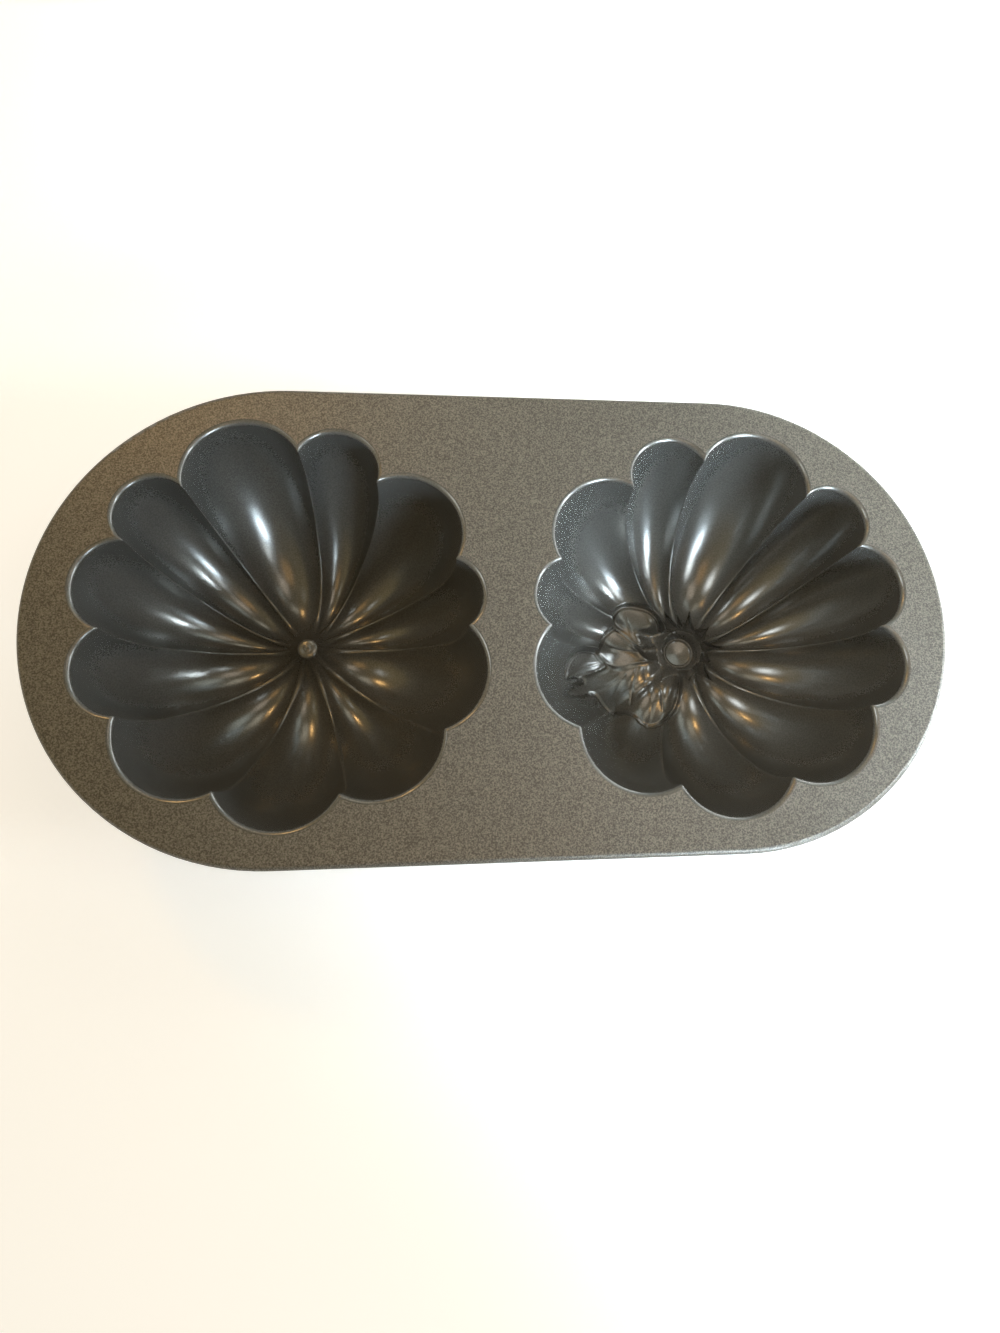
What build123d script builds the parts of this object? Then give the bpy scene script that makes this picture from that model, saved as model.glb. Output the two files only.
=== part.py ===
"""Pumpkin cake pan: one oblong deck with two lobed half-pumpkin cups, in millimetres, +Z up.

The origin is under the middle of the pan, on the surface that it rests on. X runs along the pan.
"""
from build123d import *
import math
import os

# Overall sizes of the casting
pan_length = 406.0
pan_width = 211.0
deck_top = 81.0
deck_thickness = 4.0
deck_top_round = 2.5
deck_under_round = 1.2

# The lip that rolls from the deck into a cup, the wall, and the fillet under the deck
lip_radius = 2.2
wall = 3.5
root_fillet = 3.0

# Plan of the left cup, seen from above, clockwise. Each corner is where two lobes meet:
# its place from the cup's centre, how far the rim of the lobe after it swells past the
# straight line to the next corner, and how far its ridge bows sideways on the floor.
cup_centre = (97.0, -2.0)
corners = [
    (-47.5, 62.5, 20.0, -1.1),
    (3.0, 80.0, 15.0, 6.6),
    (40.0, 65.5, 17.0, 0.0),
    (75.5, 28.0, 8.5, -9.9),
    (81.0, -3.5, 12.5, -6.6),
    (69.5, -49.5, 13.5, 6.6),
    (26.0, -76.0, 15.0, 0.0),
    (-25.5, -74.0, 15.0, 1.1),
    (-66.5, -42.5, 13.0, -2.2),
    (-77.5, -4.5, 14.0, 4.4),
    (-71.0, 35.5, 14.5, -7.7),
]
lobes = len(corners)

# Depth of the ridges below the deck, down the five rows that shape a cup: the lip's foot,
# the upright wall, the turn, the floor and the rise to the centre
ridge_depths = (lip_radius, 20.0, 53.0, 94.5, 61.0)
# Extra depth of the lobes between the ridges on the turn and on the floor
turn_belly = 9.0
floor_belly = 13.0
# The floor row as a share of the way from the centre to the rim
floor_reach = 0.34
# The wall under the ridges measured straight down, on the same rows. The floor of the stem
# half is thicker, because the leaf and the calyx are sunk into it.
blossom_wall = (0.0, 2.0, 5.5, 7.0, 4.0)
stem_wall = (0.0, 4.0, 8.5, 9.5, 5.5)
# The share of the lobes' extra depth that shows on the underside, smoother than the inside
under_belly = 0.7

# The flat round in the middle of each cup, and the nub of the blossom end on it
blossom_ring = 5.0
stem_ring = 8.0
nub_radius = 2.6
nub_height = 1.4
nub_round = 1.2

# The underside's round is smaller, because the wall slopes there
ring_inset = 1.5

# The well that forms the stem, as radius and depth below the deck's top, foot to mouth
stem_well = [(7.5, 77.3), (9.5, 73.0), (12.5, 67.0), (13.5, 58.0)]
# The boss under the well, foot to crown
stem_boss = [(11.0, deck_top), (12.8, 76.0), (13.0, 72.0), (9.0, 67.0)]

# The floor of the leaf and the calyx: how far it lies below the ridges on the same rows, and
# the share of the lobes' extra depth that still shows on it
relief_sink = (0.0, 3.5, 7.0, 5.4, 3.0)
relief_belly = 0.55

# Outline of the leaf beside the stem, from the cup's centre, in stretches from tip to tip
leaf = [
    [(-10.0, 1.0), (-8.5, 18.0), (-19.0, 26.5), (-27.0, 27.5), (-35.0, 23.0), (-37.0, 14.0)],
    [(-37.0, 14.0), (-40.0, 7.0), (-44.0, 0.5)],
    [(-44.0, 0.5), (-52.0, -1.0), (-61.0, -5.0), (-65.0, -11.0), (-63.5, -18.0)],
    [(-63.5, -18.0), (-52.0, -17.0)],
    [(-52.0, -17.0), (-67.0, -26.0)],
    [(-67.0, -26.0), (-51.0, -24.5)],
    [(-51.0, -24.5), (-46.0, -31.0), (-40.0, -35.0), (-27.0, -36.0)],
    [(-27.0, -36.0), (-22.0, -42.0), (-12.0, -40.0), (-3.5, -34.0), (1.0, -24.0), (-1.0, -9.0)],
    [(-1.0, -9.0), (-10.0, 1.0)],
]

# The star of the calyx round the stem: direction in degrees and reach of each tip, and the
# reach of the valleys between them
calyx_tips = [
    (-77, 17.0),
    (-42, 25.0),
    (-16, 19.0),
    (8, 28.0),
    (38, 25.0),
    (71, 27.0),
    (89, 23.0),
    (105, 26.0),
    (150, 20.0),
    (236, 20.0),
]
calyx_valley = 14.0
# How far each tip is turned past the middle of its base, in degrees
calyx_curl = 7.0

# A quarter circle drawn as a cubic curve has its handles this share of the radius long
quarter_handle = 0.5523


def corner_points():
    """Corners of the rim in plan, from the cup's centre."""
    return [Vector(x, y) for x, y, swell, bow in corners]


def lobe_frame(start, end, swell):
    """Direction along a lobe, direction out of it, and the rim's slope at its ends."""
    along = (end - start).normalized()
    outward = Vector(-along.Y, along.X)
    chord = (end - start).length
    radius = chord * chord / (8 * swell) + swell / 2
    half_turn = math.asin(min(1.0, chord / (2 * radius)))
    return along, outward, chord, radius, half_turn


def corner_normals(points, k):
    """Outward normals of the two rims that meet at corner k."""
    before = lobe_frame(points[k - 1], points[k], corners[k - 1][2])
    after = lobe_frame(points[k], points[(k + 1) % lobes], corners[k][2])
    ending = before[0] * math.cos(before[4]) - before[1] * math.sin(before[4])
    starting = after[0] * math.cos(after[4]) + after[1] * math.sin(after[4])
    return Vector(-ending.Y, ending.X), Vector(-starting.Y, starting.X)


def moved_corners(offset):
    """Corners of the rim after the whole rim moves out by offset."""
    points = corner_points()
    moved = []
    for k in range(lobes):
        first, second = corner_normals(points, k)
        mitre = (first + second) * (1 / (1 + first.dot(second)))
        moved.append(points[k] + mitre * offset)
    return moved


def rim_points(k, offset):
    """Four control points of lobe k's rim in plan, with the rim moved out by offset."""
    points = corner_points()
    start, end = points[k], points[(k + 1) % lobes]
    outward = lobe_frame(start, end, corners[k][2])[1]
    moved = moved_corners(offset)
    new_start, new_end = moved[k], moved[(k + 1) % lobes]
    drift = ((new_start + new_end) * 0.5 - (start + end) * 0.5).dot(outward)
    swell = corners[k][2] + offset - drift
    along, outward, chord, radius, half_turn = lobe_frame(new_start, new_end, swell)
    handle = 4 / 3 * math.tan(half_turn / 2) * radius
    rise = outward * (handle * math.sin(half_turn))
    run = along * (handle * math.cos(half_turn))
    return [new_start, new_start + run + rise, new_end - run + rise, new_end]


def at_depth(point, depth):
    """A plan point set at a depth below the deck's top."""
    return Vector(point.X, point.Y, deck_top - depth)


def ring_points(k, radius):
    """Four control points of lobe k's share of the ring round the cup's centre."""
    points = corner_points()
    start, end = points[k], points[(k + 1) % lobes]
    a = math.atan2(start.Y, start.X)
    b = math.atan2(end.Y, end.X)
    turn = (a - b) % (2 * math.pi)
    handle = 4 / 3 * math.tan(turn / 4) * radius
    first = Vector(math.cos(a), math.sin(a)) * radius
    last = Vector(math.cos(b), math.sin(b)) * radius
    return [
        first,
        first + Vector(math.sin(a), -math.cos(a)) * handle,
        last - Vector(math.sin(b), -math.cos(b)) * handle,
        last,
    ]


def floor_points(k, offset):
    """Four control points of lobe k's floor row, with each ridge bowed to its side."""
    moved = moved_corners(offset)
    ends = []
    for i in (k, (k + 1) % lobes):
        inward = moved[i] * -1
        sideways = Vector(-inward.Y, inward.X).normalized()
        ends.append(moved[i] * floor_reach + sideways * corners[i][3])
    step = (ends[1] - ends[0]) * (1 / 3)
    return [ends[0], ends[0] + step, ends[1] - step, ends[1]]


def lobe_net(k, offset, top_depth, thickness_rows, belly_share, ring_radius):
    """Control points of one lobe of a cup's skin: five rows of four, rim to centre."""
    depths = [d + t for d, t in zip(ridge_depths, thickness_rows)]
    depths[0] = top_depth
    bellies = (0.0, 0.0, turn_belly * belly_share, floor_belly * belly_share, 0.0)
    rim = rim_points(k, offset)
    rows = [rim, rim, rim, floor_points(k, offset), ring_points(k, ring_radius)]
    net = []
    for points, depth, belly in zip(rows, depths, bellies):
        dips = (0.0, belly, belly, 0.0)
        net.append([at_depth(p, depth + dip) for p, dip in zip(points, dips)])
    return net


def quarter_net(k, outer_offset, inner_offset, level, foot):
    """Control points of one lobe of a quarter-round band that leaves a level face."""
    reach = inner_offset - outer_offset
    fall = foot - level
    steps = [(0, 0), (quarter_handle, 0), (1, 1 - quarter_handle), (1, 1)]
    net = []
    for across, down in steps:
        points = rim_points(k, outer_offset + reach * across)
        net.append([at_depth(p, level + fall * down) for p in points])
    return net


def upright_net(k, top, foot):
    """Control points of lobe k's share of the upright face between cup and deck."""
    rim = rim_points(k, 0.0)
    return [[at_depth(p, top) for p in rim], [at_depth(p, foot) for p in rim]]


def rim_wire(offset, depth):
    """The whole lobed rim as a closed wire, moved out by offset."""
    edges = []
    for k in range(lobes):
        edges.append(Bezier(*[at_depth(p, depth) for p in rim_points(k, offset)]))
    return Wire(edges)


def ring_face(radius, depth):
    """The flat round face that closes a skin at the cup's centre."""
    edges = []
    for k in range(lobes):
        edges.append(Bezier(*[at_depth(p, depth) for p in ring_points(k, radius)]))
    return Face(Wire(edges))


def cup_shell(inner_ring, wall_depths):
    """A whole cup: rolled lip, inside, outside, root fillet and the seat under the deck."""
    outer_ring = inner_ring - ring_inset
    outer_wall = wall - lip_radius
    seat = outer_wall + root_fillet
    shoulder = deck_thickness + root_fillet
    no_wall = (0.0,) * len(wall_depths)
    nets = []
    for k in range(lobes):
        nets += [
            quarter_net(k, 0.0, -lip_radius, 0.0, lip_radius),
            lobe_net(k, -lip_radius, lip_radius, no_wall, 1.0, inner_ring),
            lobe_net(k, outer_wall, shoulder, wall_depths, under_belly, outer_ring),
            quarter_net(k, seat, outer_wall, deck_thickness, shoulder),
            upright_net(k, 0.0, deck_thickness),
        ]
    faces = [Face.make_bezier_surface(net) for net in nets]
    faces.append(ring_face(inner_ring, ridge_depths[-1]))
    faces.append(ring_face(outer_ring, ridge_depths[-1] + wall_depths[-1]))
    faces.append(Face(rim_wire(seat, deck_thickness), [rim_wire(0.0, deck_thickness)]))
    return Solid(Shell(faces))


def rest_flats(cup):
    """Grinds the lowest lobes flat where the pan rests."""
    below = Box(pan_length, pan_width, deck_top, align=(Align.CENTER, Align.CENTER, Align.MAX))
    return cup - below


def round_solid(profile):
    """A solid turned about the cup's axis from radius and depth pairs, closed at the axis."""
    points = [(0, profile[0][1])] + profile + [(0, profile[-1][1])]
    outline = Polyline(*[(r, 0, deck_top - depth) for r, depth in points], close=True)
    return revolve(Face(Wire(outline.edges())), Axis.Z)


def blossom_half_cup():
    """The cup with the small nub of the blossom end at its centre."""
    cup = rest_flats(cup_shell(blossom_ring, blossom_wall))
    level = deck_top - ridge_depths[-1]
    sunk = wall / 2
    nub = Cylinder(nub_radius, nub_height + sunk, align=(Align.CENTER, Align.CENTER, Align.MIN))
    nub = fillet(nub.edges().group_by(Axis.Z)[-1], nub_round)
    return cup + Pos(0, 0, level - sunk) * nub


def sunk_room():
    """The room in the stem half down to the floor of the leaf and the calyx."""
    faces = []
    for k in range(lobes):
        net = lobe_net(k, -lip_radius, lip_radius, relief_sink, relief_belly, stem_ring)
        faces.append(Face.make_bezier_surface(net))
    faces.append(ring_face(stem_ring, ridge_depths[-1] + relief_sink[-1]))
    faces.append(Face(rim_wire(-lip_radius, lip_radius)))
    return mirror(Solid(Shell(faces)), Plane.YZ)


def leaf_face():
    """The leaf's outline as a flat face on the ground."""
    edges = [Spline(*stretch) if len(stretch) > 2 else Line(*stretch) for stretch in leaf]
    return Face(Wire(edges))


def direction(degrees):
    """A unit vector in plan."""
    return Vector(math.cos(math.radians(degrees)), math.sin(math.radians(degrees)))


def calyx_face():
    """The star of the calyx: tips turned to one side, with round valleys between them."""
    edges = []
    count = len(calyx_tips)
    for i, (angle, reach) in enumerate(calyx_tips):
        before = angle - (angle - calyx_tips[i - 1][0]) % 360 / 2
        after = angle + (calyx_tips[(i + 1) % count][0] - angle) % 360 / 2
        tip = direction(angle) * reach
        base = direction(angle - calyx_curl) * calyx_valley
        edges.append(Bezier(direction(before) * calyx_valley, base, tip))
        edges.append(Bezier(tip, base, direction(after) * calyx_valley))
    return Face(Wire(edges))


def leaf_and_calyx():
    """What is taken out of the stem half for its leaf and the calyx."""
    outline = (leaf_face() + calyx_face()).faces()[0]
    return Solid.extrude(outline, Vector(0, 0, deck_top)) & sunk_room()


def stem_half_cup():
    """The cup that mirrors the other, with the stem's well, the calyx and the leaf."""
    cup = mirror(cup_shell(stem_ring, stem_wall), Plane.YZ)
    cup = rest_flats(cup + round_solid(stem_boss)) - round_solid(stem_well)
    return cup - leaf_and_calyx()


def deck():
    """The flat oblong plate, with rounded edges and an opening for each cup."""
    plate = extrude(SlotOverall(pan_length, pan_width), deck_thickness)
    plate = Pos(0, 0, deck_top - deck_thickness) * plate
    rims = plate.edges().group_by(Axis.Z)
    plate = fillet(rims[-1], deck_top_round)
    plate = fillet(plate.edges().group_by(Axis.Z)[0], deck_under_round)
    opening = Face(rim_wire(0.0, deck_thickness))
    hole = Solid.extrude(opening, Vector(0, 0, deck_thickness))
    left = Pos(-cup_centre[0], cup_centre[1], 0) * hole
    return plate - left - mirror(left, Plane.YZ)


os.makedirs("parts", exist_ok=True)
cup_x, cup_y = cup_centre
export_step(deck(), "parts/deck.step")
export_step(Pos(-cup_x, cup_y, 0) * blossom_half_cup(), "parts/blossom_half_cup.step")
export_step(Pos(cup_x, cup_y, 0) * stem_half_cup(), "parts/stem_half_cup.step")
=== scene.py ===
"""Looks of the pumpkin cake pan: fine skins for the two cups, their relief, the coating and the light.

Plan shapes are in millimetres from a cup's centre and depths are below the deck's top, as in the
part's source; MM turns them into the scene's metres.
"""
import math

import bpy
import numpy as np
from mathutils import Matrix, Vector


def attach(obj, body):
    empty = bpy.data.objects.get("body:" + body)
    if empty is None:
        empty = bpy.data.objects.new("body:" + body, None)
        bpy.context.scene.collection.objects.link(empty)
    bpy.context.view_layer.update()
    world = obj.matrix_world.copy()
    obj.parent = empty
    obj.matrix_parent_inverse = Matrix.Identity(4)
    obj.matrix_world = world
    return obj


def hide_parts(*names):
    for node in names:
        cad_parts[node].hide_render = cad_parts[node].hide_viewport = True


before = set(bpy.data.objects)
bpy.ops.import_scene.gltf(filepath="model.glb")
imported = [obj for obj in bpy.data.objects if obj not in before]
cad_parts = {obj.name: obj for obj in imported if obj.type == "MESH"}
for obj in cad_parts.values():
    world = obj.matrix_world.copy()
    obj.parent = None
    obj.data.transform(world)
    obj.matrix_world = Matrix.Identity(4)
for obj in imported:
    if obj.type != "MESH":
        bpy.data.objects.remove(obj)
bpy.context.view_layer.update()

MM = 0.001

# Sizes of the casting
deck_top = 81.0
deck_thickness = 4.0
lip_radius = 2.2
wall = 3.5
root_fillet = 3.0
outer_wall = wall - lip_radius
seat = outer_wall + root_fillet
shoulder = deck_thickness + root_fillet

# Plan of the left cup, clockwise: corner x and y, swell of the rim after it, bow of its ridge
cup_centre = np.array([97.0, -2.0])
corner_table = np.array([
    (-47.5, 62.5, 20.0, -1.1),
    (3.0, 80.0, 15.0, 6.6),
    (40.0, 65.5, 17.0, 0.0),
    (75.5, 28.0, 8.5, -9.9),
    (81.0, -3.5, 12.5, -6.6),
    (69.5, -49.5, 13.5, 6.6),
    (26.0, -76.0, 15.0, 0.0),
    (-25.5, -74.0, 15.0, 1.1),
    (-66.5, -42.5, 13.0, -2.2),
    (-77.5, -4.5, 14.0, 4.4),
    (-71.0, 35.5, 14.5, -7.7),
])
corners = corner_table[:, :2]
swells = corner_table[:, 2]
bows = corner_table[:, 3]
lobes = len(corners)

# Depth of the ridges down the five rows that shape a cup: the lip's foot, the upright wall,
# the turn, the floor and the rise to the centre; and how much deeper the lobes lie between them
ridge_depths = np.array([lip_radius, 20.0, 53.0, 94.5, 61.0])
bellies = np.array([0.0, 0.0, 9.0, 13.0, 0.0])
# The floor row as a share of the way from the centre to the rim
floor_reach = 0.34
# The wall under the ridges measured straight down, on the same rows
blossom_wall = np.array([0.0, 2.0, 5.5, 7.0, 4.0])
stem_wall = np.array([0.0, 4.0, 8.5, 9.5, 5.5])
# The share of the lobes' extra depth that shows on the underside
under_belly = 0.7
# The relief's floor: how far it lies below the ridges, and its share of the lobes' extra depth
relief_sink = np.array([0.0, 3.5, 7.0, 5.4, 3.0])
relief_belly = 0.55
# Radius of the round in the middle of each cup, and how much smaller it is on the underside
blossom_ring = 5.0
stem_ring = 8.0
ring_inset = 1.5

# How wide the ridges are rounded to either side: the lip's grows from nothing to its width, and
# the inside's and the relief floor's are given at places from the rim to the middle
lip_ridge = 1.4
under_ridge = 3.0
inside_ridge = ((0.0, 0.6, 0.8, 0.88, 0.94, 1.0), (1.4, 1.4, 1.8, 3.0, 2.8, 1.35))
relief_ridge = ((0.0, 0.6, 0.85, 1.0), (7.0, 7.0, 3.0, 1.5))

# Fineness of the meshes: rows of each band, and for each cup columns to a lobe and rows inside
lip_rows = 10
root_rows = 6
under_rows = 60
blossom_mesh = (44, 240)
stem_mesh = (76, 330)
# Edges sharper than this, in degrees, aren't shaded smooth
smooth_limit = 50
# Every cup closes in its middle with a round as small as this
pinhole = 0.02

# Length of the handles of a Bezier quarter circle, as a share of its radius
quarter_handle = 0.5523
# Farther than anything lies
far_away = 1e9


# Plan curves of the rim

def across(v):
    """The direction a quarter turn to the left of each plan vector."""
    return np.stack([-v[..., 1], v[..., 0]], axis=-1)


def lobe_frames(points, swell):
    """Direction along each lobe, direction out of it, and the rim's radius and half turn."""
    chord_vector = np.roll(points, -1, axis=0) - points
    chord = np.linalg.norm(chord_vector, axis=1)
    along = chord_vector / chord[:, None]
    radius = chord ** 2 / (8 * swell) + swell / 2
    half_turn = np.arcsin(np.minimum(1.0, chord / (2 * radius)))
    return along, across(along), radius, half_turn


def moved_corners(offset):
    """Corners of the rim after the whole rim moves out by offset."""
    along, outward, radius, half_turn = lobe_frames(corners, swells)
    cosine = np.cos(half_turn)[:, None]
    sine = np.sin(half_turn)[:, None]
    starting = across(along * cosine + outward * sine)
    ending = np.roll(across(along * cosine - outward * sine), 1, axis=0)
    mitre = (starting + ending) / (1 + (starting * ending).sum(axis=1))[:, None]
    return corners + mitre * offset


def rim_points(offset):
    """Four control points of every lobe's rim in plan, with the rim moved out by offset."""
    outward = lobe_frames(corners, swells)[1]
    start = moved_corners(offset)
    end = np.roll(start, -1, axis=0)
    middle = (start + end) / 2 - (corners + np.roll(corners, -1, axis=0)) / 2
    swell = swells + offset - (middle * outward).sum(axis=1)
    along, outward, radius, half_turn = lobe_frames(start, swell)
    handle = 4 / 3 * np.tan(half_turn / 2) * radius
    rise = outward * (handle * np.sin(half_turn))[:, None]
    run = along * (handle * np.cos(half_turn))[:, None]
    return np.stack([start, start + run + rise, end - run + rise, end], axis=1)


def ring_points(radius):
    """Four control points of every lobe's share of a round in the middle of the cup."""
    first = np.arctan2(corners[:, 1], corners[:, 0])
    last = np.roll(first, -1)
    turn = (first - last) % (2 * math.pi)
    handle = (4 / 3 * np.tan(turn / 4) * radius)[:, None]
    start = np.stack([np.cos(first), np.sin(first)], axis=1)
    end = np.stack([np.cos(last), np.sin(last)], axis=1)
    return np.stack([start * radius, start * radius - across(start) * handle,
                     end * radius + across(end) * handle, end * radius], axis=1)


def floor_points(offset):
    """Four control points of every lobe's floor row, with each ridge bowed to its side."""
    moved = moved_corners(offset)
    inward = -moved / np.linalg.norm(moved, axis=1)[:, None]
    start = moved * floor_reach + across(inward) * bows[:, None]
    end = np.roll(start, -1, axis=0)
    step = (end - start) / 3
    return np.stack([start, start + step, end - step, end], axis=1)


# Skins, as rows of points that go once round the cup

def bernstein(count, t):
    """Weights of a Bezier curve's control points at each t."""
    i = np.arange(count + 1)
    binomial = np.array([math.comb(count, k) for k in i])
    return binomial * t[:, None] ** i * (1 - t[:, None]) ** (count - i)


def column_steps(columns):
    """Places across a lobe, close together at its ridges."""
    return (1 - np.cos(math.pi * np.arange(columns) / columns)) / 2


def skin(net, t, columns):
    """Points of a net of rows by lobes by four control points, at each t down the skin."""
    weights = bernstein(len(net) - 1, t)
    points = np.einsum("ti,ikjd,uj->tkud", weights, net, bernstein(3, column_steps(columns)))
    return points.reshape(len(t), lobes * columns, 3)


def at_depth(plan, depth):
    """Plan control points with a depth under each."""
    return np.concatenate([plan, np.broadcast_to(depth, plan.shape[:2])[..., None]], axis=2)


def lobe_net(offset, top_depth, sunk, belly_share, ring):
    """The five rows that shape a cup's inside, its underside or its relief's floor."""
    depths = ridge_depths + sunk
    depths[0] = top_depth
    rim = rim_points(offset)
    plans = [rim, rim, rim, floor_points(offset), ring_points(ring)]
    belly = bellies * belly_share
    return np.stack([at_depth(plan, depth + np.array([0, dip, dip, 0]))
                     for plan, depth, dip in zip(plans, depths, belly)])


def quarter_net(outer_offset, inner_offset, level, foot):
    """A quarter-round band that leaves a face at one level and ends upright at its foot."""
    steps = [(0, 0), (quarter_handle, 0), (1, 1 - quarter_handle), (1, 1)]
    reach = inner_offset - outer_offset
    return np.stack([at_depth(rim_points(outer_offset + reach * a), level + (foot - level) * b)
                     for a, b in steps])


def rounded_ridges(rows, widths):
    """Rows with each ridge rounded over its row's width to either side, by a curve that it pulls."""
    rows = rows.copy()
    columns = rows.shape[1] // lobes
    half = columns // 2
    for lobe in range(lobes):
        here = lobe * columns
        right = (here + np.arange(half + 1)) % rows.shape[1]
        left = (here - np.arange(half + 1)) % rows.shape[1]
        for row, width in zip(rows, widths):
            if width <= 0:
                continue
            top = row[here].copy()
            feet = []
            sides = []
            for side in (right, left):
                run = row[side]
                gone = np.concatenate([[0], np.cumsum(np.linalg.norm(np.diff(run, axis=0), axis=1))])
                feet.append(np.array([np.interp(width, gone, run[:, axis]) for axis in range(3)]))
                sides.append((side[gone < width], gone[gone < width]))
            for (side, gone), near, far in zip(sides, feet, feet[::-1]):
                t = (0.5 + gone / (2 * width))[:, None]
                row[side] = (1 - t) ** 2 * far + 2 * t * (1 - t) * top + t ** 2 * near
    return rows


def disc_rows(last_row, radii, depths):
    """Rows that go on from a round row to smaller rounds at the given depths."""
    plan = last_row[:, :2] / np.linalg.norm(last_row[:, :2], axis=1)[:, None]
    return np.stack([np.column_stack([plan * radius, np.full(len(plan), depth)])
                     for radius, depth in zip(radii, depths)])


# Relief of the stem half, in plan from the right cup's centre

leaf_lobes = [
    [(-16.9, 3.5), (-12.3, 5.5), (-9.4, 9.9), (-8.5, 16.3), (-9.1, 21.3), (-13.7, 24.7), (-20.3, 27.3),
     (-27.7, 27.7), (-32.7, 25.3), (-36.4, 19.8), (-35.8, 14.9), (-28.4, 10.3), (-21.7, 3.4)],
    [(-35.8, 14.9), (-28.4, 10.3), (-21.9, 2.8), (-18.8, -1.5), (-12.7, -5.2), (-23.5, -5.1),
     (-30.2, -7.5), (-39.1, -6.7), (-44.5, -2.0), (-46.9, 1.1), (-41.6, 9.7), (-39.0, 13.8)],
    [(-46.9, 1.1), (-50.6, 1.0), (-57.4, -0.2), (-63.5, -6.1), (-66.0, -12.3), (-65.5, -16.4),
     (-62.3, -17.3), (-53.8, -14.1), (-43.6, -9.8), (-38.6, -7.0), (-42.0, -3.5), (-45.0, -1.3)],
    [(-28.6, -9.1), (-33.8, -10.4), (-45.9, -17.4), (-54.4, -21.2), (-66.6, -25.0), (-56.6, -24.4),
     (-48.3, -22.8), (-46.0, -28.9), (-43.1, -33.6), (-38.9, -35.3), (-37.6, -27.0), (-34.1, -17.8)],
    [(-28.6, -9.1), (-34.1, -17.8), (-37.6, -27.0), (-38.9, -35.3), (-33.0, -33.9), (-27.4, -34.4),
     (-23.7, -38.6), (-20.3, -40.9), (-16.0, -30.2), (-16.0, -21.8), (-19.5, -14.0), (-18.7, -5.4)],
    [(-18.7, -5.4), (-19.5, -14.0), (-16.0, -21.8), (-16.0, -30.2), (-20.3, -40.9), (-15.9, -40.5),
     (-10.1, -37.4), (-5.0, -33.7), (-1.7, -27.8), (0.2, -22.1), (-0.1, -15.9), (-4.0, -12.5),
     (-8.7, -9.2), (-12.8, -6.1)],
]
# How much deeper than the leaf's own level the middle of each lobe lies, and over what distance
# from its outline the lobe falls to that
lobe_hollows = (1.3, 1.3, 1.3, 0.5, 0.6, 0.6)
hollow_run = 2.2
# The first lobes belong to the upper leaf, which lies over the lower one and is sunk deeper:
# the lower one reaches this share of the relief's depth. The step between them spans these
# distances inside the upper leaf's outline.
upper_lobes = 3
lower_share = 0.7
layer_step = (-2.4, 0.2)
# The leaf is sunk this share deeper at its western tips, growing from nothing between two places
tip_share = 0.3
tip_run = (-40.0, -58.0)
# The leaf's edge spans these distances inside its outline
leaf_edge = (-0.4, 1.2)
# Grooves along the margins of the leaf and of its upper layer: depth, distance inside, width
leaf_groove = (1.1, 1.4, 0.75)
layer_groove = (1.0, 0.9, 0.8)
# Hollows and grooves grow from nothing to their full depth over these distances from the calyx
hollow_start = (0.0, -6.0)
groove_start = (0.0, -3.0)
# Whole outline of the leaf, in stretches from tip to tip
leaf_stretches = [
    [(-12.0, -2.0), (-9.0, 9.0), (-8.5, 18.0), (-13.0, 24.5), (-20.0, 27.3), (-27.7, 27.7), (-33.5, 25.0),
     (-36.6, 19.5), (-36.2, 14.5)],
    [(-36.2, 14.5), (-40.5, 11.0), (-43.5, 6.0), (-46.0, 1.0)],
    [(-46.0, 1.0), (-51.0, 1.2), (-57.5, -0.2), (-63.0, -5.0), (-66.2, -12.0), (-65.0, -17.5)],
    [(-65.0, -17.5), (-60.0, -16.4), (-55.0, -16.2)],
    [(-55.0, -16.2), (-60.5, -18.6), (-65.0, -22.0), (-68.3, -26.6)],
    [(-68.3, -26.6), (-57.0, -25.6), (-48.8, -24.2), (-46.0, -28.9), (-42.8, -33.8), (-38.9, -35.5)],
    [(-38.9, -35.5), (-33.0, -34.0), (-27.6, -34.8), (-24.0, -38.8), (-20.0, -41.2), (-14.5, -40.3),
     (-8.5, -36.6), (-3.4, -31.5), (-0.3, -25.0), (0.6, -18.0), (-1.0, -10.0)],
    [(-1.0, -10.0), (-7.0, -5.0), (-12.0, -2.0)],
]
# The veins stand up between the hollows
vein_height = 0.35
vein_width = 0.7
veins = [
    [(-19.5, 0.5), (-24.0, 8.0), (-26.0, 15.0), (-26.5, 21.0)],
    [(-19.5, 0.5), (-28.0, 1.5), (-38.0, 3.5)],
    [(-41.0, -5.0), (-50.0, -7.5), (-57.0, -11.0), (-62.0, -15.0)],
    [(-30.0, -11.5), (-40.0, -18.0), (-52.0, -22.3)],
    [(-23.5, -8.5), (-26.5, -18.0), (-28.5, -30.0)],
    [(-13.5, -9.0), (-10.5, -20.0), (-11.0, -34.0)],
]

# The calyx: direction in degrees and reach of each tip, radius of the valleys between them, and
# how many degrees the tips' sides bend over
calyx_tips = [(-77, 17.0), (-42, 25.0), (-16, 19.0), (8, 28.0), (38, 25.0),
              (71, 27.0), (89, 23.0), (105, 26.0), (150, 20.0), (236, 20.0)]
calyx_valley = 14.0
calyx_curl = 7.0
# How far the sides of a tip are drawn in, from 0 for straight to 1 for the part's own curve
calyx_waist = 0.35
# Points along each side of a tip, and along each piece of the leaf's outline and veins
calyx_steps = 8
curve_steps = 6
# How far from its ends each side of a lobe is cut to round its corners
corner_cut = 0.25
# The calyx's edge spans these distances inside its outline, and its middle is hollowed
star_edge = (0.0, 0.7)
star_hollow = 1.5
star_run = 2.0

# All of the relief lies within this radius, and its deepest places ease to a stop at a depth
# that leaves metal above the underside
relief_radius = 76.0
deepest_relief = 79.8
stop_run = 1.0


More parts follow.
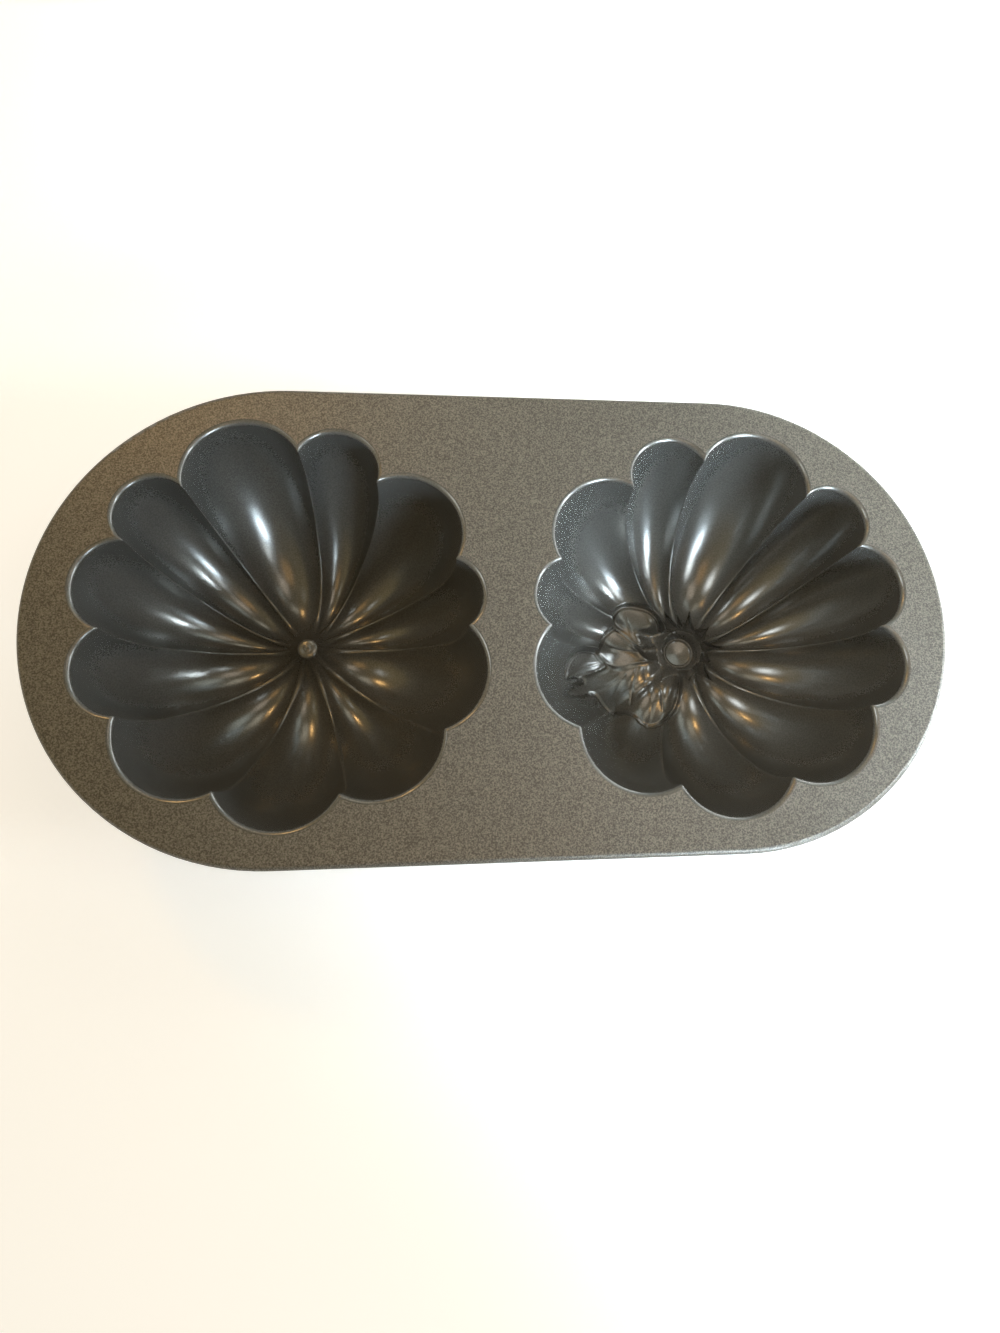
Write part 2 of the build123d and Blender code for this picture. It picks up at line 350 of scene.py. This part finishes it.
def smooth_closed(points, passes=2):
    """A closed outline with its corners cut smaller and smaller."""
    points = np.array(points, float)
    for _ in range(passes):
        after = np.roll(points, -1, axis=0)
        first = points * (1 - corner_cut) + after * corner_cut
        second = points * corner_cut + after * (1 - corner_cut)
        points = np.stack([first, second], axis=1).reshape(-1, 2)
    return points


def edge_distance(plan, a, b):
    """How far each plan point lies from the straight edge between two points."""
    edge = b - a
    share = np.clip(((plan - a) @ edge) / max(edge @ edge, 1e-12), 0, 1)
    return np.linalg.norm(plan - a - share[:, None] * edge, axis=1)


def line_distance(plan, line):
    """How far each plan point lies from an open line."""
    near = np.full(len(plan), far_away)
    for a, b in zip(line, line[1:]):
        near = np.minimum(near, edge_distance(plan, a, b))
    return near


def inside_distance(plan, outline):
    """How far each plan point lies inside a closed outline, below zero outside it."""
    near = line_distance(plan, np.concatenate([outline, outline[:1]]))
    inside = np.zeros(len(plan), bool)
    for a, b in zip(outline, np.roll(outline, -1, axis=0)):
        crosses = (a[1] > plan[:, 1]) != (b[1] > plan[:, 1])
        if a[1] != b[1]:
            crossing = a[0] + (plan[:, 1] - a[1]) * (b[0] - a[0]) / (b[1] - a[1])
            inside ^= crosses & (plan[:, 0] < crossing)
    return np.where(inside, near, -near)


def curved(points):
    """Points along a smooth curve through the given ones, with the last left out."""
    points = np.array(points, float)
    padded = np.concatenate([2 * points[:1] - points[1:2], points, 2 * points[-1:] - points[-2:-1]])
    t = np.arange(curve_steps)[:, None] / curve_steps
    run = []
    for a, b, c, d in zip(padded, padded[1:], padded[2:], padded[3:]):
        run.append(b + t / 2 * (c - a + t * (2 * a - 5 * b + 4 * c - d + t * (3 * b - a - 3 * c + d))))
    return np.concatenate(run)


def smoothstep(low, high, x):
    """A soft step from 0 at low to 1 at high, either of which may be the greater."""
    t = np.clip((x - low) / (high - low), 0, 1)
    return t * t * (3 - 2 * t)


def direction(degrees):
    """The plan direction at an angle from the X axis."""
    return np.array([math.cos(math.radians(degrees)), math.sin(math.radians(degrees))])


def calyx_outline():
    """The star of the calyx: tips turned to one side, with round valleys between them."""
    t = np.arange(calyx_steps) / calyx_steps
    points = []
    for i, (angle, reach) in enumerate(calyx_tips):
        before = angle - (angle - calyx_tips[i - 1][0]) % 360 / 2
        after = angle + (calyx_tips[(i + 1) % len(calyx_tips)][0] - angle) % 360 / 2
        tip = direction(angle) * reach
        base = direction(angle - calyx_curl) * calyx_valley
        for start, end in ((direction(before) * calyx_valley, tip), (tip, direction(after) * calyx_valley)):
            middle = (start + end) / 2 * (1 - calyx_waist) + base * calyx_waist
            points.append(bernstein(2, t) @ np.array([start, middle, end]))
    return np.concatenate(points)


def hollowed(distance, depth, run):
    """Depth of a hollow at each distance inside its outline."""
    return depth * (1 - np.exp(-np.maximum(distance, 0) / run))


def grooved(distance, depth, inset, width):
    """Depth of a rounded groove that keeps to an inset from a line."""
    return depth * np.exp(-((distance - inset) / width) ** 2)


def leaf_depth(plan, star, calm, drop):
    """How deep the leaf is at each place, from how far its calm surface and its floor lie below the lobes."""
    leaf = inside_distance(plan, np.concatenate([curved(stretch) for stretch in leaf_stretches]))
    upper = np.full(len(plan), -far_away)
    hollow = np.zeros(len(plan))
    for i, outline in enumerate(leaf_lobes):
        inside = inside_distance(plan, smooth_closed(outline))
        hollow = np.maximum(hollow, hollowed(inside, lobe_hollows[i], hollow_run))
        if i < upper_lobes:
            upper = np.maximum(upper, inside)
    for vein in veins:
        hollow -= grooved(line_distance(plan, curved(vein)), vein_height, 0, vein_width)
    hollow *= smoothstep(*hollow_start, star)
    margin = grooved(leaf, *leaf_groove) + grooved(upper, *layer_groove)
    hollow += margin * smoothstep(*groove_start, star)
    level = lower_share + (1 - lower_share) * smoothstep(*layer_step, upper)
    level *= 1 + tip_share * smoothstep(*tip_run, plan[:, 0])
    return smoothstep(*leaf_edge, leaf) * (calm + (drop - calm) * level + hollow)


def calyx_depth(star, drop):
    """How deep the calyx is at each distance inside its outline."""
    return smoothstep(*star_edge, star) * (drop + hollowed(star, star_hollow, star_run))


def sunk_relief(rows, calm_rows, floor_rows):
    """The inside of the stem half with the leaf and the calyx sunk into it."""
    points = rows.reshape(-1, 3).copy()
    near = np.linalg.norm(points[:, :2], axis=1) < relief_radius
    plan = points[near, :2]
    depth = points[near, 2]
    calm = calm_rows.reshape(-1, 3)[near, 2] - depth
    drop = floor_rows.reshape(-1, 3)[near, 2] - depth
    star = inside_distance(plan, calyx_outline())
    sunk = depth + np.maximum(leaf_depth(plan, star, calm, drop), calyx_depth(star, drop))
    over = np.maximum(sunk - deepest_relief + stop_run, 0)
    stopped = deepest_relief - stop_run * np.exp(-over / stop_run)
    points[near, 2] = np.where(over > 0, stopped, sunk)
    return points.reshape(rows.shape)


# The stem's well: depth against radius, and the rounds from its mouth to its middle
well_radii = (0.0, 2.0, 4.0, 5.5, 6.6, 7.1, 7.5, 7.8, 8.1, 8.6, 9.5, 12.5, 13.5)
well_depths = (78.9, 78.8, 78.5, 78.2, 78.0, 77.5, 77.0, 77.0, 77.5, 76.0, 73.0, 67.0, 58.0)
well_rounds = (7.8, 7.65, 7.5, 7.35, 7.2, 7.05, 6.9, 6.7, 6.5, 6.2, 5.5, 4.0, 2.0, pinhole)
# The boss under the well: depth of the underside against radius
boss_radii = (0.0, 11.0, 12.2, 12.8, 13.0)
boss_depths = (deck_top, deck_top, 80.0, 76.0, 0.0)
# Rounds that close the underside of each half
blossom_bottom = (2.0, pinhole)
stem_bottom = (3.0, pinhole)
# The nub in the middle of the blossom end: radius against height
nub_radii = (4.6, 4.1, 3.5, 2.9, 2.4, 2.0, 1.8, 1.6, 1.3, 0.8, pinhole)
nub_heights = np.array([0.25, 0.48, 0.70, 0.84, 0.90, 0.93, 1.02, 1.16, 1.29, 1.38, 1.40])


def with_well(rows):
    """Rows cut down to the stem's well near the centre."""
    rows = rows.copy()
    radius = np.linalg.norm(rows[..., :2], axis=2)
    well = np.interp(radius, well_radii, well_depths, right=0.0)
    rows[..., 2] = np.maximum(rows[..., 2], well)
    return rows


# Meshes

def mesh_from_rows(name, rows, side):
    """A closed mesh from a cup's rows: from its foot over the inside to the middle, and back underneath."""
    count, columns = rows.shape[:2]
    points = rows.reshape(-1, 3).copy()
    points[:, 0] += side * cup_centre[0]
    points[:, 1] += cup_centre[1]
    points[:, 2] = np.maximum(deck_top - points[:, 2], 0.0)
    index = np.arange(count * columns).reshape(count, columns)
    after = np.roll(index, -1, axis=1)
    quads = np.stack([index[:-1], index[1:], after[1:], after[:-1]], axis=2).reshape(-1, 4)
    closing = np.stack([index[-1], index[0], after[0], after[-1]], axis=1)
    quads = np.concatenate([quads, closing])
    if side > 0:
        quads = quads[:, ::-1]
    mesh = bpy.data.meshes.new(name)
    mesh.vertices.add(len(points))
    mesh.vertices.foreach_set("co", (points * MM).ravel())
    mesh.loops.add(quads.size)
    mesh.loops.foreach_set("vertex_index", quads.ravel())
    mesh.polygons.add(len(quads))
    mesh.polygons.foreach_set("loop_start", np.arange(0, quads.size, 4))
    mesh.update(calc_edges=True)
    mesh.validate()
    mesh.polygons.foreach_set("use_smooth", np.ones(len(mesh.polygons), bool))
    mesh.set_sharp_from_angle(angle=math.radians(smooth_limit))
    made = bpy.data.objects.new(name, mesh)
    bpy.context.scene.collection.objects.link(made)
    return made


def even(count):
    """Places from 0 to 1, evenly spaced."""
    return np.linspace(0, 1, count)


def turned(rows, side):
    """Rows of the left cup, mirrored if they are for the right one."""
    return rows * (-side, 1, 1)


def inside_rows(mesh_size, ring, side, ridge, sunk=0.0, belly_share=1.0):
    """Rows of a cup's inside, or of a surface like it that lies lower, with its ridges rounded."""
    columns, down = mesh_size
    rows = skin(lobe_net(-lip_radius, lip_radius, sunk, belly_share, ring), even(down)[1:], columns)
    places, widths = ridge
    return turned(rounded_ridges(rows, np.interp(even(len(rows)), places, widths)), side)


def outer_rows(columns, ring, wall_depths, side):
    """The rest of a cup's rows: its foot, its lip, its underside and the fillet under the deck."""
    foot = skin(quarter_net(0.0, 0.0, deck_thickness, deck_thickness), np.zeros(1), columns)
    lip = skin(quarter_net(0.0, -lip_radius, 0.0, lip_radius), even(lip_rows), columns)
    lip = rounded_ridges(lip, lip_ridge * even(lip_rows) ** 0.5)
    net = lobe_net(outer_wall, shoulder, wall_depths, under_belly, ring - ring_inset)
    under = skin(net, even(under_rows)[1:], columns)
    under = rounded_ridges(under, np.full(len(under), under_ridge))
    root = skin(quarter_net(seat, outer_wall, deck_thickness, shoulder), even(root_rows), columns)
    return [turned(rows, side) for rows in (foot, lip, under, root)]


def blossom_cup():
    """The left cup, with the nub of the blossom end."""
    inside = inside_rows(blossom_mesh, blossom_ring, -1, inside_ridge)
    foot, lip, under, root = outer_rows(blossom_mesh[0], blossom_ring, blossom_wall, -1)
    centre = ridge_depths[-1]
    nub = disc_rows(inside[-1], nub_radii, centre - nub_heights)
    bottom = disc_rows(under[-1], blossom_bottom, [centre + blossom_wall[-1]] * 2)
    rows = np.concatenate([foot, lip, inside, nub, bottom[::-1], under[::-1], root[::-1]])
    return mesh_from_rows("blossom_cup_skin", rows, -1)


def stem_cup():
    """The right cup, with the leaf, the calyx and the stem's well."""
    inside = inside_rows(stem_mesh, stem_ring, 1, inside_ridge)
    calm = inside_rows(stem_mesh, stem_ring, 1, relief_ridge)
    relief_floor = inside_rows(stem_mesh, stem_ring, 1, relief_ridge, relief_sink, relief_belly)
    inside = with_well(sunk_relief(inside, calm, relief_floor))
    well = with_well(disc_rows(inside[-1], well_rounds, np.zeros(len(well_rounds))))
    foot, lip, under, root = outer_rows(stem_mesh[0], stem_ring, stem_wall, 1)
    boss = np.interp(np.linalg.norm(under[..., :2], axis=2), boss_radii, boss_depths)
    under[..., 2] = np.maximum(under[..., 2], boss)
    bottom = disc_rows(under[-1], stem_bottom, [deck_top] * 2)
    rows = np.concatenate([foot, lip, inside, well, bottom[::-1], under[::-1], root[::-1]])
    return mesh_from_rows("stem_cup_skin", rows, 1)


# Coating

# Scales of the noise patterns, and the noise values between which two of them go from end to end
speckle_scale = 1600
speckle_span = (0.35, 0.68)
patch_scale = 45
patch_span = (0.3, 0.7)
grain_scale = 1500
# Height of the grain in metres
grain_height = 0.0002
# How far the roughness varies, kept small because wider patches show sharp edges in the picture
rough_range = 0.02


def nodes_of(name):
    """A new material with its node tree and its Principled shader."""
    material = bpy.data.materials.new(name)
    material.use_nodes = True
    tree = material.node_tree
    return material, tree, tree.nodes["Principled BSDF"]


def noise(tree, scale, detail=2.0, rough=0.5):
    """A noise pattern in the object's own metres."""
    place = tree.nodes.new("ShaderNodeTexCoord")
    made = tree.nodes.new("ShaderNodeTexNoise")
    made.inputs["Scale"].default_value = scale
    made.inputs["Detail"].default_value = detail
    made.inputs["Roughness"].default_value = rough
    tree.links.new(place.outputs["Object"], made.inputs["Vector"])
    return made.outputs["Fac"]


def ramp(tree, value, stops):
    """Colours or greys along a value."""
    made = tree.nodes.new("ShaderNodeValToRGB")
    made.color_ramp.elements[0].position = stops[0][0]
    made.color_ramp.elements[0].color = stops[0][1]
    made.color_ramp.elements[1].position = stops[-1][0]
    made.color_ramp.elements[1].color = stops[-1][1]
    for position, colour in stops[1:-1]:
        made.color_ramp.elements.new(position).color = colour
    tree.links.new(value, made.inputs["Fac"])
    return made.outputs["Color"]


def grey(level):
    """A grey colour."""
    return (level, level, level, 1)


def coating(name, dark, light, rough, grain, metallic, gloss):
    """A nonstick coating: fine metallic speckle, uneven roughness and a fine grain."""
    material, tree, shader = nodes_of(name)
    speckle = ramp(tree, noise(tree, speckle_scale, detail=1.0), list(zip(speckle_span, (dark, light))))
    tree.links.new(speckle, shader.inputs["Base Color"])
    ends = (grey(rough - rough_range), grey(rough + rough_range))
    patches = ramp(tree, noise(tree, patch_scale, detail=3.0), list(zip(patch_span, ends)))
    tree.links.new(patches, shader.inputs["Roughness"])
    shader.inputs["Metallic"].default_value = metallic
    shader.inputs["Specular IOR Level"].default_value = gloss
    bump = tree.nodes.new("ShaderNodeBump")
    bump.inputs["Strength"].default_value = grain
    bump.inputs["Distance"].default_value = grain_height
    tree.links.new(noise(tree, grain_scale, rough=0.6), bump.inputs["Height"])
    tree.links.new(bump.outputs["Normal"], shader.inputs["Normal"])
    return material


def dress(piece, material):
    """Give a piece one material and no other."""
    piece.data.materials.clear()
    piece.data.materials.append(material)


deck_coat = coating("deck_coat", dark=(0.058, 0.054, 0.046, 1), light=(0.172, 0.159, 0.133, 1),
                    rough=0.42, grain=0.5, metallic=0.4, gloss=0.7)
cup_coat = coating("cup_coat", dark=(0.104, 0.103, 0.096, 1), light=(0.160, 0.158, 0.147, 1),
                   rough=0.24, grain=0.1, metallic=0.6, gloss=1.0)

dress(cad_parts["deck"], deck_coat)
for made, node in ((blossom_cup(), "blossom_half_cup"), (stem_cup(), "stem_half_cup")):
    dress(made, cup_coat)
    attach(made, "root")
    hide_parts(node)


# Room and light

# One level for every lamp and for the room itself
light_level = 0.72

# The floor: its width in metres, its paper, and how much it glows where it is looked at
floor_size = 6.0
paper = (0.86, 0.86, 0.86, 1)
paper_rough = 0.9
glow_colour = (0.92, 0.97, 1.0, 1)
glow_strength = 0.45

# The room's colours at places along a direction to the left and up, and its share of the level
room_lean = (-0.906, 0.0, 0.423)
room_colours = [(0.0, (0.42, 0.36, 0.23, 1)), (0.4, (0.50, 0.42, 0.27, 1)),
                (0.7, (0.68, 0.54, 0.29, 1)), (1.0, (0.95, 0.75, 0.38, 1))]
room_share = 0.9
# The cool light along the horizon, by height
horizon_colour = (0.9, 0.97, 1.0, 1)
horizon_colours = [(0.0, horizon_colour), (0.1, horizon_colour), (0.3, grey(0.0))]

# Where a lamp is aimed, and the spread of its light in degrees
all_round = ((0.0, 0.0, 0.0), 180.0)
right_cup = ((0.19, -0.01, 0.05), 30.0)
# Lamps: direction towards it, distance, width and height in metres, colour, power, aim
lamps = {
    "window": ((0.453, -0.785, 0.423), 0.8, (0.35, 0.35), (0.80, 0.92, 1.0), 1.0, all_round),
    "near_window": ((0.453, -0.785, 0.423), 0.7, (0.40, 0.40), (0.70, 0.86, 1.0), 1.4, right_cup),
    "high_window": ((0.525, -0.525, 0.669), 0.7, (0.30, 0.30), (0.86, 0.95, 1.0), 0.16, right_cup),
    "right_window": ((0.84, -0.20, 0.50), 0.7, (0.20, 0.20), (0.80, 0.92, 1.0), 0.4, right_cup),
    "low_right": ((0.95, 0.0, 0.31), 0.6, (0.36, 0.10), (0.92, 0.97, 1.0), 1.7, all_round),
    "low_back": ((0.73, 0.61, 0.31), 0.6, (0.36, 0.10), (0.92, 0.97, 1.0), 1.5, all_round),
    "low_fill": ((0.433, 0.75, 0.50), 0.8, (0.30, 0.30), (0.65, 0.88, 1.0), 0.5, all_round),
    "side_fill": ((0.58, 0.41, 0.70), 0.8, (0.30, 0.30), (0.88, 1.0, 0.98), 0.6, all_round),
    "back_fill": ((0.0, 0.64, 0.77), 0.8, (0.30, 0.30), (1.0, 0.95, 0.80), 0.6, all_round),
    "ceiling": ((0.34, 0.0, 0.94), 0.8, (0.30, 0.30), (1.0, 0.86, 0.72), 0.7, all_round),
    "front_warm": ((0.0, -0.34, 0.94), 0.8, (0.30, 0.30), (1.0, 0.55, 0.18), 0.5, all_round),
    "warm_lamp": ((-0.38, 0.55, 0.72), 1.2, (0.12, 0.12), (1.0, 0.58, 0.22), 2.4, all_round),
    "left_fill": ((-0.64, 0.0, 0.77), 0.7, (0.30, 0.30), (0.88, 0.95, 1.0), 0.12, right_cup),
}


def math_node(tree, operation, value):
    """A math node with its first input linked."""
    made = tree.nodes.new("ShaderNodeMath")
    made.operation = operation
    tree.links.new(value, made.inputs[0])
    return made


def floor():
    """A plain pale floor under the pan."""
    bpy.ops.mesh.primitive_plane_add(size=floor_size, location=(0, 0, 0))
    plane = bpy.context.object
    plane.name = "floor"
    material, tree, shader = nodes_of("floor_paper")
    shader.inputs["Base Color"].default_value = paper
    shader.inputs["Roughness"].default_value = paper_rough
    shader.inputs["Emission Color"].default_value = glow_colour
    path = tree.nodes.new("ShaderNodeLightPath")
    seen = path.outputs["Is Camera Ray"]
    for ray in ("Is Glossy Ray", "Is Transmission Ray"):
        either = math_node(tree, "MAXIMUM", seen)
        tree.links.new(path.outputs[ray], either.inputs[1])
        seen = either.outputs[0]
    glow = math_node(tree, "MULTIPLY", seen)
    glow.inputs[1].default_value = glow_strength
    tree.links.new(glow.outputs[0], shader.inputs["Emission Strength"])
    dress(plane, material)
    return plane


def room():
    """A dim warm room that is lighter to the left, with cool light along the horizon."""
    world = bpy.data.worlds.new("room")
    bpy.context.scene.world = world
    world.use_nodes = True
    tree = world.node_tree
    walls = tree.nodes["Background"]
    place = tree.nodes.new("ShaderNodeTexCoord")
    lean = tree.nodes.new("ShaderNodeVectorMath")
    lean.operation = "DOT_PRODUCT"
    lean.inputs[1].default_value = room_lean
    tree.links.new(place.outputs["Generated"], lean.inputs[0])
    tree.links.new(ramp(tree, lean.outputs["Value"], room_colours), walls.inputs["Color"])
    walls.inputs["Strength"].default_value = room_share * light_level
    height = tree.nodes.new("ShaderNodeSeparateXYZ")
    tree.links.new(place.outputs["Generated"], height.inputs[0])
    horizon = tree.nodes.new("ShaderNodeBackground")
    tree.links.new(ramp(tree, height.outputs["Z"], horizon_colours), horizon.inputs["Color"])
    horizon.inputs["Strength"].default_value = light_level
    both = tree.nodes.new("ShaderNodeAddShader")
    tree.links.new(walls.outputs[0], both.inputs[0])
    tree.links.new(horizon.outputs[0], both.inputs[1])
    tree.links.new(both.outputs[0], tree.nodes["World Output"].inputs["Surface"])


def soft_lamp(name, towards, distance, size, colour, power, aim):
    """A soft rectangular lamp that looks from a direction at a place on the pan."""
    place, spread = aim
    data = bpy.data.lights.new(name, "AREA")
    data.shape = "RECTANGLE"
    data.size, data.size_y = size
    data.color = colour
    data.energy = power * light_level
    data.spread = math.radians(spread)
    lamp = bpy.data.objects.new(name, data)
    away = Vector(towards).normalized()
    lamp.location = Vector(place) + away * distance
    lamp.rotation_euler = (-away).to_track_quat("-Z", "Y").to_euler()
    bpy.context.scene.collection.objects.link(lamp)


floor()
room()
for name, lamp in lamps.items():
    soft_lamp(name, *lamp)


# Camera, where the photograph was taken from: its place in metres and its three directions,
# the photograph's size, focal length and principal point in pixels, and the sensor's height in mm

camera_place = Vector((-0.0274, -0.0910, 0.4137))
camera_right = Vector((0.99364, -0.03023, 0.10844))
camera_up = Vector((0.00398, 0.97211, 0.23449))
camera_back = Vector((-0.11251, -0.23257, 0.96605))
image_width = 1000
image_height = 1333
focal_pixels = 790.0
principal_x = 537.7
principal_y = 636.5
sensor = 36.0
nearest_view = 0.01


def camera():
    """The camera, with its lens shifted as the photograph's middle was."""
    data = bpy.data.cameras.new("camera")
    data.sensor_fit = "VERTICAL"
    data.sensor_height = sensor
    data.lens = focal_pixels * sensor / image_height
    data.shift_x = (image_width / 2 - principal_x) / image_height
    data.shift_y = (principal_y - image_height / 2) / image_height
    data.clip_start = nearest_view
    made = bpy.data.objects.new("camera", data)
    turn = Matrix((camera_right, camera_up, camera_back)).transposed()
    made.matrix_world = Matrix.Translation(camera_place) @ turn.to_4x4()
    bpy.context.scene.collection.objects.link(made)
    bpy.context.scene.camera = made


camera()
bpy.context.scene.view_settings.view_transform = "Standard"
